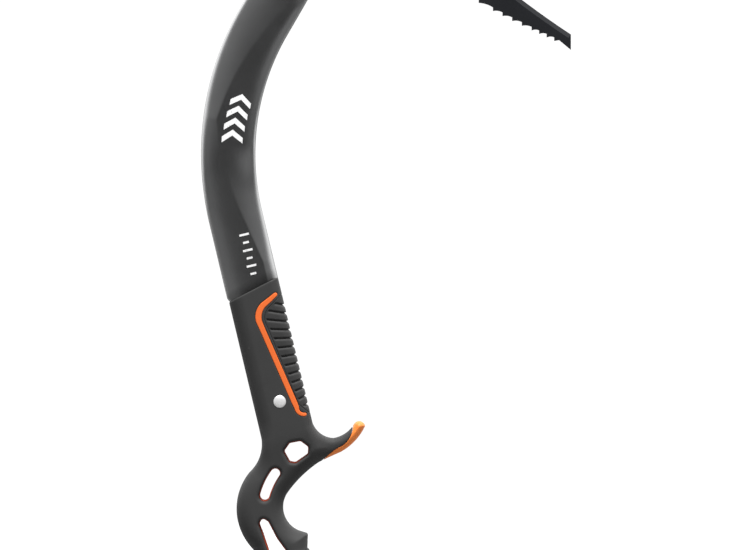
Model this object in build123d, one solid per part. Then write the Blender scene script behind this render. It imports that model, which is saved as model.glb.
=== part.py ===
from build123d import *
import math
import os

# Technical ice axe with a bent tubular shaft and a moulded handle. Lengths are millimetres.
# The tool hangs in the X-Z plane: +X is the side the pick points to, +Z is up and Y is across.
# The origin is the clip hole in the root of the pick.

# Shaft line: straight to the head, one bend, straight into the grip.
HEAD_TILT = 30.1
GRIP_TILT = 13.4
BEND_RADIUS = 152.0
TUBE_TOP = 84.0
TUBE_END = 126.0
TUBE_WIDTH = 21.0
TUBE_WALL = 1.8
TUBE_DEPTH_HEAD = 31.6
TUBE_DEPTH_GRIP = 30.8
TUBE_SHIFT_HEAD = -0.7
TUBE_SHIFT_GRIP = 0.3
SWAGE_START = 44.0
SWAGE_END = 50.0
SWAGE_DEPTH = 26.4
SWAGE_WIDTH = 19.6

# Head, measured up the upper shaft from the bend and out from its axis.
CLIP_UP = 95.5
CLIP_OUT = 37.0
CLIP_RADIUS = 6.5
PICK_AXIS_UP = 100.0
ROOT_HALF = 13.0
PICK_HALF = 2.0
HEAD_HALF = 10.5
SLOT_CLEARANCE = 0.05
TANG_BOTTOM = 58.0
HEAD_PIN_RADIUS = 2.0
HEAD_PIN_UPS = (64.0, 76.0)
PICK_TOP = ((113.0, 14.0), (87.4, 122.2), (84.3, 156.6))
PICK_TIP = (76.7, 161.0)
UNDERSIDE_LOW = (73.4, 105.0)
TOOTH_START = 150.2
TOOTH_DEPTH = 1.85
TOOTH_RAKE = 0.58
TOOTH_GROUPS = ((3, 4.77), (4, 6.25), (4, 9.5))
BEVEL_WIDTH = 2.5
BEVEL_DEPTH = 0.9
BOLT_OUTS = {"front": 11.0, "rear": -11.0}
BOLT_RADIUS = 3.5
BOLT_HEAD_RADIUS = 6.2
BOLT_HEAD_HEIGHT = 3.6
WASHER_THICKNESS = 1.0
FIT = 0.02
WEIGHT_CENTRE = (92.6, 62.0)
WEIGHT_LENGTH = 27.0
WEIGHT_HEIGHT = 15.0
WEIGHT_THICKNESS = 7.0
WEIGHT_TILT = 11.0
WEIGHT_SCREW_RADIUS = 3.0

# Upper grip, measured down the lower shaft from the bend and forward from its axis.
GRIP_HALF = 12.4
GRIP_FRONT = 16.1
SKIN = 2.4
CORE_HALF = 5.5
FRAME_HALF = 2.5
FRAME_INSET = 5.4
FRAME_TOP = 72.0
RIVET_DOWN = 109.2
RIVET_FORWARD = 0.8
RIVET_RADIUS = 2.5
RIVET_HEAD_RADIUS = 4.0
RIVET_HEAD_HEIGHT = 1.6
RIVET_RECESS = 1.2
STRIPE_HALF = 1.5
STRIPE_DEPTH = 0.9
STRIPE_PROUD = 0.3
RIB_COUNT = 13
RIB_PITCH = 4.87
RIB_FIRST = 56.0
RIB_WIDTH = 1.2
RIB_DEPTH = 0.7
RIB_FAN_TOP = 26.0
RIB_FAN_BOTTOM = -16.0
RIM = 0.6

# Lower grip, measured from its own origin down its own, more tilted, axis.
PALM_ORIGIN = (192.4, -19.0)
PALM_TILT = 32.0
SKIN_END = 72.0
BAR_END = 91.0
BAR_HALF = 8.0
BAR_FRONT = 8.0
BAR_BACK = -10.0
SPIKE_TOP = 62.0
SPIKE_END = 112.0
SPIKE_HALF = 2.5
SPIKE_HOLE = (102.0, -2.0)
SPIKE_HOLE_RADIUS = 5.5
SPIKE_TEETH = 5

# Griprest: a saddle that slides on the handle's lower bar, clamped by one cross screw.
REST_TRAVEL = 3.0
REST_GAP = 0.4
REST_HALF = 12.4
REST_TOP = 77.0
REST_BOTTOM = 91.0
REST_SCREW = (83.5, -1.0)
REST_SCREW_RADIUS = 2.5
RUNNING = 0.05
NUT_FLATS = 8.0
NUT_THICKNESS = 3.0


def upward(tilt):
    """Direction tilted from straight up towards +X, and the direction forward of it."""
    angle = math.radians(tilt)
    return Vector(math.sin(angle), 0, math.cos(angle)), Vector(math.cos(angle), 0, -math.sin(angle))


def downward(tilt):
    """Direction tilted from straight down towards +X, and the direction forward of it."""
    up, forward = upward(-tilt)
    return -up, forward


HEAD_UP, HEAD_OUT = upward(HEAD_TILT)
GRIP_DOWN, GRIP_FORWARD = downward(GRIP_TILT)
PALM_DOWN, PALM_FORWARD = downward(PALM_TILT)


def head_at(up, out):
    """Point at a height up the upper shaft from the bend and a distance out towards the pick."""
    return HEAD_UP * (up - CLIP_UP) + HEAD_OUT * (out - CLIP_OUT)


BEND_CENTRE = head_at(0, BEND_RADIUS)


def grip_at(down, forward):
    """Point at a distance down the lower shaft from the bend and forward of its axis."""
    return BEND_CENTRE + GRIP_FORWARD * (forward - BEND_RADIUS) + GRIP_DOWN * down


def palm_at(down, forward):
    """Point along and forward of the lower grip's axis."""
    return grip_at(*PALM_ORIGIN) + PALM_DOWN * down + PALM_FORWARD * forward


def face_of(place, start, *steps):
    """Face on the middle plane. A step is an end point, or a middle point and an end point of an arc."""
    edges = []
    here = place(*start)
    for step in steps:
        if isinstance(step[0], tuple):
            end = place(*step[1])
            edges.append(Edge.make_three_point_arc(here, place(*step[0]), end))
        else:
            end = place(*step)
            edges.append(Edge.make_line(here, end))
        here = end
    first = place(*start)
    if (here - first).length > 1e-6:
        edges.append(Edge.make_line(here, first))
    return Face(Wire(edges))


def across(face, low, high):
    """Solid of a middle-plane face, between two places across the tool."""
    return Part() + Solid.extrude(face.moved(Location((0, low, 0))), Vector(0, high - low, 0))


def plate(face, half):
    """Solid of a middle-plane face, equally thick on both sides."""
    return across(face, -half, half)


def eased_plate(face, half, ease):
    """Plate whose two rims step in twice, as a plain stand-in for a rounded edge."""
    body = plate(face, half - ease)
    for inset, drop in ((0.35, 0.45), (1.0, 0.0)):
        body += plate(shifted(face, -inset * ease), half - drop * ease)
    return body


def cross_cylinder(centre, radius, low, high):
    """Cylinder lying across the tool."""
    middle = Vector(centre.X, (low + high) / 2, centre.Z)
    return Pos(*middle) * Cylinder(radius, high - low, rotation=(90, 0, 0))


def cross_hex(centre, flats, low, high):
    """Hexagonal prism lying across the tool."""
    prism = extrude(RegularPolygon(flats / 2, 6, major_radius=False), high - low)
    return Pos(centre.X, high, centre.Z) * Rot(90, 0, 0) * prism


def shifted(face, amount):
    """The same face grown, or shrunk when the amount is negative, along its own plane."""
    wire = face.outer_wire().offset_2d(amount, Kind.ARC)
    return Face(wire)


def tube_section(centre, along, forward, depth, width):
    """Oval section square to the shaft."""
    return Plane(origin=centre, x_dir=forward, z_dir=along) * Ellipse(depth / 2, width / 2)


def head_tube_section(up, shrink):
    """Section of the upper straight, smaller all round by half the shrink."""
    centre = head_at(up, TUBE_SHIFT_HEAD)
    return tube_section(centre, HEAD_UP, HEAD_OUT, TUBE_DEPTH_HEAD - shrink, TUBE_WIDTH - shrink)


def bend_frame(angle):
    """Centre, direction and forward side of the shaft at an angle of the bend above level."""
    along, forward = upward(angle)
    return BEND_CENTRE - forward * BEND_RADIUS, along, forward


def tube_body(wall):
    """The shaft's outer volume shrunk by a wall: head straight, bend, grip straight, swage."""
    shrink = 2 * wall
    bend = []
    for step in range(7):
        angle = HEAD_TILT - (HEAD_TILT + GRIP_TILT) * step / 6
        centre, along, forward = bend_frame(angle)
        depth = TUBE_DEPTH_HEAD + (TUBE_DEPTH_GRIP - TUBE_DEPTH_HEAD) * step / 6
        centre += forward * (TUBE_SHIFT_HEAD + (TUBE_SHIFT_GRIP - TUBE_SHIFT_HEAD) * step / 6)
        bend.append(tube_section(centre, along, forward, depth - shrink, TUBE_WIDTH - shrink))
    top = loft([head_tube_section(TUBE_TOP, shrink), bend[0]], ruled=True)
    middle = loft(bend)
    sizes = (
        (0, TUBE_SHIFT_GRIP, TUBE_DEPTH_GRIP, TUBE_WIDTH),
        (SWAGE_START, TUBE_SHIFT_GRIP, TUBE_DEPTH_GRIP, TUBE_WIDTH),
        (SWAGE_END, 0, SWAGE_DEPTH, SWAGE_WIDTH),
        (TUBE_END, 0, SWAGE_DEPTH, SWAGE_WIDTH),
    )
    sections = [
        tube_section(grip_at(down, shift), GRIP_DOWN, GRIP_FORWARD, depth - shrink, width - shrink)
        for down, shift, depth, width in sizes
    ]
    body = top + middle
    for upper, lower in zip(sections, sections[1:]):
        body += loft([upper, lower], ruled=True)
    return body


def handle_outline():
    """Whole moulded handle: upper grip, forward hook, finger recess and lower grip."""
    lower_front = ((40.0, 14.8), (SKIN_END, 12.4))
    lower_back = ((35.0, -15.0), (-8.3, -13.3))
    origin = grip_at(0, 0)

    def grip_of(point):
        offset = point - origin
        return offset.dot(GRIP_DOWN), offset.dot(GRIP_FORWARD)

    def palm(point):
        return grip_of(palm_at(*point))

    return face_of(
        grip_at,
        (46.8, -14.6),
        (39.3, GRIP_FRONT),
        (126.0, GRIP_FRONT),
        ((133.2, 19.5), (137.1, 25.8)),
        ((136.3, 32.4), (132.0, 39.3)),
        ((131.4, 43.4), (134.6, 45.3)),
        ((141.2, 38.2), (145.9, 28.1)),
        ((147.4, 20.4), (148.8, 14.2)),
        ((154.6, 2.4), (161.5, -7.0)),
        ((172.8, -12.0), (185.3, -4.4)),
        palm((-0.4, 17.6)),
        (palm((0.9, 18.2)), palm((2.4, 17.4))),
        palm((7.5, 14.0)),
        (palm(lower_front[0]), palm(lower_front[1])),
        palm((SKIN_END, -12.4)),
        (palm(lower_back[0]), palm(lower_back[1])),
        ((168.0, -38.8), (145.0, -25.8)),
        ((138.4, -18.5), (128.0, -14.6)),
    )


def hook_window(grow):
    """Seven-sided window behind the forward hook."""
    front = [(134.3, 7.0), (138.5, 10.6), (142.4, 9.4)]
    back = [(145.6, 1.3), (144.3, -1.7), (137.8, -3.5), (134.0, 0.8)]
    points = [grip_at(*corner) for corner in front + back]
    face = Face(Wire.make_polygon(points, close=True))
    return shifted(shifted(face, -1.8), 1.8 + grow)


def throat_window(grow):
    """Curved slot behind the index finger."""
    line = (grip_at(149.0, -11.4), grip_at(154.3, -16.5), grip_at(160.1, -20.4))
    arc = Edge.make_three_point_arc(*line)
    return Face(Wire(arc).offset_2d(2.7 + grow, Kind.ARC))


def palm_window(grow):
    """Long tapered window in the lower grip."""
    front = [(-20.9, 1.0), (-17.2, 2.8), (-6.0, 1.9), (3.0, 2.6), (24.0, 1.8), (28.0, -2.0)]
    back = [(24.0, -6.0), (0.0, -6.4), (-13.0, -3.3), (-18.8, -2.2)]
    points = [palm_at(*corner) for corner in front + back]
    face = Face(Wire.make_polygon(points, close=True))
    return shifted(shifted(face, -1.6), 1.6 + grow)


def windows(grow, half):
    """Volumes of the three handle windows, grown all round."""
    faces = (hook_window(grow), throat_window(grow), palm_window(grow))
    return [plate(face, half) for face in faces]


def hook_tip_face():
    """Orange end and underside of the forward hook."""
    return face_of(
        grip_at,
        (133.0, 38.4),
        ((138.9, 35.2), (142.4, 30.2)),
        ((144.2, 24.2), (148.3, 16.5)),
        (154.0, 16.5),
        (152.0, 48.0),
        (128.0, 48.0),
        (128.0, 41.0),
    )


def stripe_face():
    """Bent stripe beside the ribs of the upper grip."""
    top = grip_at(48.4, 12.8)
    bend = (grip_at(52.9, 4.4), grip_at(56.2, 1.3), grip_at(61.8, -0.1))
    hook = (grip_at(112.3, 9.0), grip_at(117.0, 10.2), grip_at(120.6, 12.8))
    line = Wire(
        [
            Edge.make_line(top, bend[0]),
            Edge.make_three_point_arc(*bend),
            Edge.make_line(bend[2], hook[0]),
            Edge.make_three_point_arc(*hook),
        ]
    )
    return Face(line.offset_2d(STRIPE_HALF, Kind.ARC))


def upper_rib_face():
    """Ribbed front of the upper grip, ahead of the stripe."""
    return face_of(
        grip_at,
        (49.5, GRIP_FRONT),
        (55.5, 6.6),
        ((60.0, 3.7), (66.0, 4.0)),
        (113.0, 11.0),
        (119.2, GRIP_FRONT),
    )


def rib_grooves(place, first, count, front, fan_top, fan_bottom):
    """Grooves across the front of a grip that fan from one slant at the top to another at the bottom."""
    grooves = []
    for number in range(count):
        middle = first + number * RIB_PITCH
        slant = math.radians(fan_top + (fan_bottom - fan_top) * number / (count - 1))
        back = middle - 20.0 * math.tan(slant)
        strip = face_of(
            place,
            (middle - RIB_WIDTH / 2, front),
            (middle + RIB_WIDTH / 2, front),
            (back + RIB_WIDTH / 2, front - 20.0),
            (back - RIB_WIDTH / 2, front - 20.0),
        )
        grooves.append(plate(strip, GRIP_HALF + 1))
    return grooves


def pick_teeth():
    """Outline steps from the foremost tooth back to the root: a raked face up, then a scalloped gullet."""
    steps = []
    out = TOOTH_START
    for count, pitch in TOOTH_GROUPS:
        for _ in range(count):
            height = underside(out)
            face_out = out - TOOTH_RAKE * TOOTH_DEPTH
            following = underside(out - pitch)
            middle = ((height + following + 1.6 * TOOTH_DEPTH) / 2, (face_out + out - pitch) / 2)
            steps.append((height + TOOTH_DEPTH, face_out))
            steps.append((middle, (following, out - pitch)))
            out -= pitch
    return steps


def pick_outline():
    """Pick blade with its root, tip and raked teeth."""
    first = underside(TOOTH_START)
    top = PICK_AXIS_UP + ROOT_HALF
    bottom = PICK_AXIS_UP - ROOT_HALF
    return face_of(
        head_at,
        (top, -3.5),
        PICK_TOP[0],
        PICK_TOP[1:],
        PICK_TIP,
        (first + TOOTH_DEPTH, TOOTH_START + 2.2),
        (first, TOOTH_START),
        *pick_teeth(),
        ((81.6, 42.0), (bottom, 22.0)),
        (bottom, -3.5),
    )


def underside(out):
    """Height of the tooth tips: lowest at mid-blade, rising to the pick's tip and to its root."""
    if out > UNDERSIDE_LOW[1]:
        return UNDERSIDE_LOW[0] + 2.9 * ((out - UNDERSIDE_LOW[1]) / 45.2) ** 1.6
    return UNDERSIDE_LOW[0] + 13.6 * ((UNDERSIDE_LOW[1] - out) / 83.0) ** 1.6


def shaft_tube():
    tube = tube_body(0) - tube_body(TUBE_WALL)
    tube -= cross_cylinder(grip_at(RIVET_DOWN, RIVET_FORWARD), RIVET_RADIUS + FIT, -GRIP_HALF, GRIP_HALF)
    for up in HEAD_PIN_UPS:
        tube -= cross_cylinder(head_at(up, 0), HEAD_PIN_RADIUS + FIT, -GRIP_HALF, GRIP_HALF)
    return tube


def shaft_end_plug():
    shrink = 2 * TUBE_WALL + 0.02
    sections = [
        tube_section(grip_at(down, 0), GRIP_DOWN, GRIP_FORWARD, SWAGE_DEPTH - shrink, SWAGE_WIDTH - shrink)
        for down in (60.0, 69.0)
    ]
    return loft(sections, ruled=True)


def pick_slot():
    """Slot through the head for the pick's root and the hammer's tongue."""
    low = PICK_AXIS_UP - ROOT_HALF - SLOT_CLEARANCE
    high = PICK_AXIS_UP + ROOT_HALF + SLOT_CLEARANCE
    slot = face_of(head_at, (low, -30.0), (high, -30.0), (high, 34.0), (low, 34.0))
    return plate(slot, PICK_HALF + SLOT_CLEARANCE)


def bolt_holes(radius, low, high):
    return [cross_cylinder(head_at(PICK_AXIS_UP, out), radius, low, high) for out in BOLT_OUTS.values()]


def head_body():
    """Forged head: oval tang inside the tube, shoulder on the tube's end, slotted block above."""
    ends = [head_tube_section(up, 2 * TUBE_WALL + 0.04) for up in (TANG_BOTTOM, TUBE_TOP + 3.0)]
    tang = loft(ends, ruled=True)
    block_face = face_of(
        head_at,
        (TUBE_TOP, -16.5),
        (93.0, -20.5),
        (108.0, -20.5),
        ((117.2, -16.0), (120.0, -6.0)),
        (119.0, 10.0),
        ((115.4, 21.6), (106.0, 25.0)),
        (96.0, 24.0),
        (TUBE_TOP, 15.1),
    )
    block = plate(block_face, HEAD_HALF)
    block = fillet(block.faces().filter_by(Axis.Y).edges(), 2.2)
    head = block + tang - pick_slot()
    for hole in bolt_holes(BOLT_RADIUS + FIT, -HEAD_HALF - 1, HEAD_HALF + 1):
        head -= hole
    for up in HEAD_PIN_UPS:
        head -= cross_cylinder(head_at(up, 0), HEAD_PIN_RADIUS, -HEAD_HALF, HEAD_HALF)
    return head


def head_pins():
    half = TUBE_WIDTH / 2 - 0.1
    pins = [cross_cylinder(head_at(up, 0), HEAD_PIN_RADIUS, -half, half) for up in HEAD_PIN_UPS]
    return Part() + pins


def pick_bevel(side):
    """Wedge that one side's bevel takes off along the blade's top edge."""
    face_at = side * PICK_HALF
    slope = BEVEL_DEPTH / BEVEL_WIDTH
    path = Edge.make_three_point_arc(*[head_at(*point) for point in PICK_TOP])
    start = path.position_at(0)
    along = path.tangent_at(0)
    inward = along.cross(Vector(0, 1, 0))
    if inward.dot(HEAD_UP) > 0:
        inward = -inward
    corners = ((-1.0, -BEVEL_DEPTH - slope), (-1.0, 1.0), (BEVEL_WIDTH + 1.0 / slope, 1.0))
    points = [start + inward * depth + Vector(0, face_at + side * out, 0) for depth, out in corners]
    profile = Face(Wire.make_polygon(points, close=True))
    return sweep(profile, path)


def pick():
    blade = plate(pick_outline(), PICK_HALF)
    for side in (-1, 1):
        blade -= pick_bevel(side)
    blade -= cross_cylinder(head_at(CLIP_UP, CLIP_OUT), CLIP_RADIUS, -3, 3)
    blade -= cross_cylinder(head_at(PICK_AXIS_UP, BOLT_OUTS["front"]), BOLT_RADIUS + FIT, -3, 3)
    return blade - cross_cylinder(head_at(*WEIGHT_CENTRE), WEIGHT_SCREW_RADIUS + FIT, -3, 3)


def hammer():
    """Small rear hammer: striking head, neck and a tongue that fills the rear of the slot."""
    tongue_face = face_of(
        head_at,
        (PICK_AXIS_UP - ROOT_HALF, -4.0),
        (PICK_AXIS_UP + ROOT_HALF, -4.0),
        (PICK_AXIS_UP + ROOT_HALF, -24.0),
        (PICK_AXIS_UP - ROOT_HALF, -24.0),
    )
    head_face = face_of(
        head_at,
        (PICK_AXIS_UP - ROOT_HALF, -21.0),
        (PICK_AXIS_UP + ROOT_HALF, -21.0),
        ((PICK_AXIS_UP + 11.2, -27.0), (PICK_AXIS_UP + 11.5, -33.0)),
        (PICK_AXIS_UP + 11.5, -39.0),
        (PICK_AXIS_UP - 11.5, -39.0),
        (PICK_AXIS_UP - 11.5, -33.0),
        ((PICK_AXIS_UP - 11.2, -27.0), (PICK_AXIS_UP - ROOT_HALF, -21.0)),
    )
    striker = plate(head_face, 9.0)
    striker = chamfer(striker.faces().filter_by(Axis.Y).edges(), 1.6)
    body = striker + plate(tongue_face, PICK_HALF)
    return body - cross_cylinder(head_at(PICK_AXIS_UP, BOLT_OUTS["rear"]), BOLT_RADIUS + FIT, -3, 3)


def pick_bolt(out):
    centre = head_at(PICK_AXIS_UP, out)
    seat = -HEAD_HALF - WASHER_THICKNESS
    end = HEAD_HALF + 6.0
    head = cross_cylinder(centre, BOLT_HEAD_RADIUS, seat - BOLT_HEAD_HEIGHT, seat)
    head = chamfer(head.faces().sort_by(Axis.Y)[0].edges(), 1.0)
    bolt = head + cross_cylinder(centre, BOLT_RADIUS, seat, end)
    return bolt - cross_hex(centre, 5.0, seat - BOLT_HEAD_HEIGHT, seat - 1.4)


def pick_nut(out):
    centre = head_at(PICK_AXIS_UP, out)
    nut = cross_hex(centre, 11.0, HEAD_HALF + WASHER_THICKNESS, HEAD_HALF + 6.0)
    return nut - cross_cylinder(centre, BOLT_RADIUS + FIT, HEAD_HALF, HEAD_HALF + 7.0)


def pick_washers():
    rings = []
    for out in BOLT_OUTS.values():
        centre = head_at(PICK_AXIS_UP, out)
        for low in (-HEAD_HALF - WASHER_THICKNESS, HEAD_HALF):
            high = low + WASHER_THICKNESS
            hole = cross_cylinder(centre, BOLT_RADIUS + FIT, low - 1, high + 1)
            rings.append(cross_cylinder(centre, 7.0, low, high) - hole)
    return Part() + rings


def pick_weight(side):
    """Steel weight on one side of the pick."""
    centre = head_at(*WEIGHT_CENTRE)
    low, high = sorted((side * PICK_HALF, side * (PICK_HALF + WEIGHT_THICKNESS)))
    blank = Rectangle(WEIGHT_LENGTH, WEIGHT_HEIGHT)
    blank = fillet(blank.vertices(), 5.0)
    body = Rot(90, 0, 0) * extrude(blank, high - low)
    body = fillet(body.faces().sort_by(Axis.Y)[-1 if side > 0 else 0].edges(), 2.0)
    bottom = body.bounding_box().min.Y
    tilt = HEAD_TILT + WEIGHT_TILT
    placed = Pos(centre.X, low - bottom, centre.Z) * Rot(0, tilt, 0) * body
    return placed - cross_cylinder(centre, WEIGHT_SCREW_RADIUS + FIT, low - 1, high + 1)


def weight_screw():
    centre = head_at(*WEIGHT_CENTRE)
    seat = -PICK_HALF - WEIGHT_THICKNESS
    head = cross_cylinder(centre, 5.0, seat - 2.6, seat)
    head = fillet(head.faces().sort_by(Axis.Y)[0].edges(), 1.2)
    screw = head + cross_cylinder(centre, WEIGHT_SCREW_RADIUS, seat, -seat + 4.0)
    return screw - cross_hex(centre, 4.0, seat - 2.6, seat - 0.9)


def weight_nut():
    centre = head_at(*WEIGHT_CENTRE)
    seat = PICK_HALF + WEIGHT_THICKNESS
    nut = cross_hex(centre, 9.0, seat, seat + 4.0)
    return nut - cross_cylinder(centre, WEIGHT_SCREW_RADIUS + FIT, seat - 1, seat + 5.0)


def rest_slot(half):
    """Slot in the lower bar that the griprest screw travels in."""
    down, forward = REST_SCREW
    radius = REST_SCREW_RADIUS + 0.3
    top = down - REST_TRAVEL - 0.4
    bottom = down + REST_TRAVEL + 0.4
    slot = face_of(
        palm_at,
        (top, forward - radius),
        ((top - radius, forward), (top, forward + radius)),
        (bottom, forward + radius),
        ((bottom + radius, forward), (bottom, forward - radius)),
    )
    return plate(slot, half)


def spike_pin_centres():
    return [palm_at(67.0, forward) for forward in (-6.5, 4.5)]


def handle_frame():
    """Aluminium plate from inside the tube to the spike, cut out round the windows."""
    frame = plate(shifted(handle_outline(), -FRAME_INSET), FRAME_HALF)
    above = face_of(grip_at, (20.0, -60.0), (20.0, 60.0), (FRAME_TOP, 60.0), (FRAME_TOP, -60.0))
    below = face_of(palm_at, (SPIKE_TOP, -40.0), (SPIKE_TOP, 60.0), (120.0, 60.0), (120.0, -40.0))
    frame -= plate(above, 10)
    frame -= plate(below, 10)
    for window in windows(1.6, 10):
        frame -= window
    return frame - cross_cylinder(grip_at(RIVET_DOWN, RIVET_FORWARD), RIVET_RADIUS + FIT, -5, 5)


def spike_face():
    """Spike plate with saw teeth along its lower edge."""
    front = 7.0
    back = -10.0
    pitch = (front - back) / SPIKE_TEETH
    teeth = []
    for number in range(SPIKE_TEETH):
        edge = front - number * pitch
        rise = 2.6 * number / SPIKE_TEETH
        teeth.append((SPIKE_END - rise, edge - 0.35 * pitch))
        teeth.append((SPIKE_END - 3.0 - rise, edge - pitch))
    return face_of(
        palm_at, (SPIKE_TOP, back), (SPIKE_TOP, front), (SPIKE_END - 3.0, front), *teeth
    )


def spike():
    plate_body = plate(spike_face(), SPIKE_HALF)
    plate_body -= cross_cylinder(palm_at(*SPIKE_HOLE), SPIKE_HOLE_RADIUS, -4, 4)
    plate_body -= rest_slot(5)
    for centre in spike_pin_centres():
        plate_body -= cross_cylinder(centre, HEAD_PIN_RADIUS + FIT, -4, 4)
    return plate_body


def spike_pins():
    pins = [cross_cylinder(centre, HEAD_PIN_RADIUS, -BAR_HALF, BAR_HALF) for centre in spike_pin_centres()]
    return Part() + pins


def core_body():
    """Solid core before it is fitted round the frame: spigot, moulded middle and lower bar."""
    shrink = 2 * TUBE_WALL + 0.04
    spigot_ends = [
        tube_section(grip_at(down, 0), GRIP_DOWN, GRIP_FORWARD, SWAGE_DEPTH - shrink, SWAGE_WIDTH - shrink)
        for down in (70.0, TUBE_END + 4.0)
    ]
    spigot = loft(spigot_ends, ruled=True)
    middle = plate(shifted(handle_outline(), -SKIN), CORE_HALF)
    above = face_of(grip_at, (20.0, -60.0), (20.0, 60.0), (TUBE_END, 60.0), (TUBE_END, -60.0))
    middle -= plate(above, 20)
    bar_face = face_of(
        palm_at,
        (60.0, BAR_BACK),
        (60.0, BAR_FRONT),
        (BAR_END, BAR_FRONT),
        ((BAR_END + 2.0, -1.0), (BAR_END, BAR_BACK)),
    )
    return middle + spigot + plate(bar_face, BAR_HALF)


def handle_core():
    core = core_body()
    core -= plate(spike_face(), SPIKE_HALF)
    core -= rest_slot(20)
    for centre in spike_pin_centres():
        core -= cross_cylinder(centre, HEAD_PIN_RADIUS + FIT, -20, 20)
    for window in windows(0, 20):
        core -= window
    core -= plate(shifted(handle_outline(), -FRAME_INSET), FRAME_HALF) & frame_zone()
    core -= cross_cylinder(grip_at(RIVET_DOWN, RIVET_FORWARD), RIVET_RADIUS + FIT, -20, 20)
    return core


def frame_zone():
    """Region between the frame's two ends, without the windows' rims."""
    zone = face_of(grip_at, (FRAME_TOP, -60.0), (FRAME_TOP, 60.0), (300.0, 120.0), (300.0, -60.0))
    below = face_of(palm_at, (SPIKE_TOP, -60.0), (SPIKE_TOP, 60.0), (200.0, 60.0), (200.0, -60.0))
    body = plate(zone, 10) - plate(below, 10)
    for window in windows(1.6, 12):
        body -= window
    return body


def handle_overmould():
    """Rubbery skin: the whole handle shape, hollowed for everything it covers."""
    skin = eased_plate(handle_outline(), GRIP_HALF, SKIN)
    for window in windows(RIM, 20):
        skin -= window
    skin -= tube_body(0)
    skin -= core_body()
    skin -= plate(hook_tip_face(), 20)
    skin -= upper_rib_volume()
    skin -= lower_rib_volume()
    for side in (-1, 1):
        skin -= stripe_volume(side, 0.0)
        skin -= rivet_recess(side)
    return skin - cross_cylinder(grip_at(RIVET_DOWN, RIVET_FORWARD), RIVET_RADIUS + FIT, -20, 20)


def hook_tip():
    whole = eased_plate(handle_outline(), GRIP_HALF, SKIN)
    return (whole & plate(hook_tip_face(), 20)) - core_body()


def upper_rib_volume():
    """Skin-deep wrap round the front of the upper grip."""
    wrap = plate(upper_rib_face(), GRIP_HALF)
    inner = face_of(grip_at, (40.0, -20.0), (40.0, 13.6), (130.0, 13.6), (130.0, -20.0))
    return wrap - plate(inner, 10.3)


def upper_rib_pad():
    pad = upper_rib_volume()
    floor = face_of(
        grip_at,
        (30.0, -20.0),
        (30.0, GRIP_FRONT - RIB_DEPTH),
        (130.0, GRIP_FRONT - RIB_DEPTH),
        (130.0, -20.0),
    )
    for groove in rib_grooves(grip_at, RIB_FIRST, RIB_COUNT, 17.0, RIB_FAN_TOP, RIB_FAN_BOTTOM):
        pad -= groove - plate(floor, GRIP_HALF - RIB_DEPTH)
    return pad


def lower_rib_face():
    return face_of(
        palm_at, (8.0, 8.8), (8.0, 12.0), ((38.0, 14.4), (68.0, 12.0)), (68.0, 8.8)
    )


def lower_rib_volume():
    wrap = plate(lower_rib_face(), GRIP_HALF)
    inner = face_of(palm_at, (0.0, -20.0), (0.0, 11.9), (80.0, 11.9), (80.0, -20.0))
    return wrap - plate(inner, 9.6) - core_body()


def lower_rib_pad():
    pad = lower_rib_volume()
    floor = plate(shifted(handle_outline(), -RIB_DEPTH), GRIP_HALF - RIB_DEPTH)
    for groove in rib_grooves(palm_at, 13.0, 11, 18.0, -4.0, 8.0):
        pad -= groove - floor
    return pad


def stripe_volume(side, proud):
    low, high = sorted((side * (GRIP_HALF - STRIPE_DEPTH), side * (GRIP_HALF + proud)))
    return across(stripe_face(), low, high)


def rivet_recess(side):
    centre = grip_at(RIVET_DOWN, RIVET_FORWARD)
    low, high = sorted((side * (GRIP_HALF - RIVET_RECESS), side * (GRIP_HALF + 1)))
    return cross_cylinder(centre, RIVET_HEAD_RADIUS + 0.5, low, high)


def grip_rivet():
    """Cross rivet with a low dome on each side."""
    centre = grip_at(RIVET_DOWN, RIVET_FORWARD)
    seat = GRIP_HALF - RIVET_RECESS
    rivet = cross_cylinder(centre, RIVET_RADIUS, -seat, seat)
    for side in (-1, 1):
        low, high = sorted((side * seat, side * (seat + RIVET_HEAD_HEIGHT)))
        dome = cross_cylinder(centre, RIVET_HEAD_RADIUS, low, high)
        rivet += fillet(dome.faces().sort_by(Axis.Y)[-1 if side > 0 else 0].edges(), 1.2)
    return rivet


def rest_shelf(top):
    """Griprest outline; its top edge is the shelf under the little finger."""
    return face_of(
        palm_at,
        (REST_TOP, -9.0),
        (REST_TOP, 9.5),
        ((82.4 + top, 20.0), (74.0 + top, 32.0)),
        ((74.4, 36.6), (79.0, 35.4)),
        ((88.0, 24.0), (REST_BOTTOM, 9.5)),
        ((REST_BOTTOM + 1.0, 0.0), (REST_BOTTOM, -9.0)),
    )


def bar_passage():
    """Clearance for the lower bar through the griprest."""
    passage = face_of(
        palm_at,
        (60.0, -14.0),
        (60.0, BAR_FRONT + REST_GAP),
        (120.0, BAR_FRONT + REST_GAP),
        (120.0, -14.0),
    )
    return plate(passage, BAR_HALF + REST_GAP)


def griprest():
    rest = eased_plate(rest_shelf(2.2), REST_HALF, 1.5)
    rest -= bar_passage()
    rest -= cross_cylinder(palm_at(*REST_SCREW), REST_SCREW_RADIUS + RUNNING, -20, 20)
    pocket = cross_hex(palm_at(*REST_SCREW), NUT_FLATS, REST_HALF - NUT_THICKNESS, REST_HALF + 2)
    return rest - pocket - griprest_pad()


def griprest_pad():
    """Soft layer on the shelf."""
    layer = plate(rest_shelf(0.0), REST_HALF - 2.0) - plate(rest_shelf(2.2), REST_HALF)
    body = plate(
        face_of(palm_at, (60.0, 12.0), (60.0, 31.0), (90.0, 31.0), (90.0, 12.0)), REST_HALF
    )
    return layer & body


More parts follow.
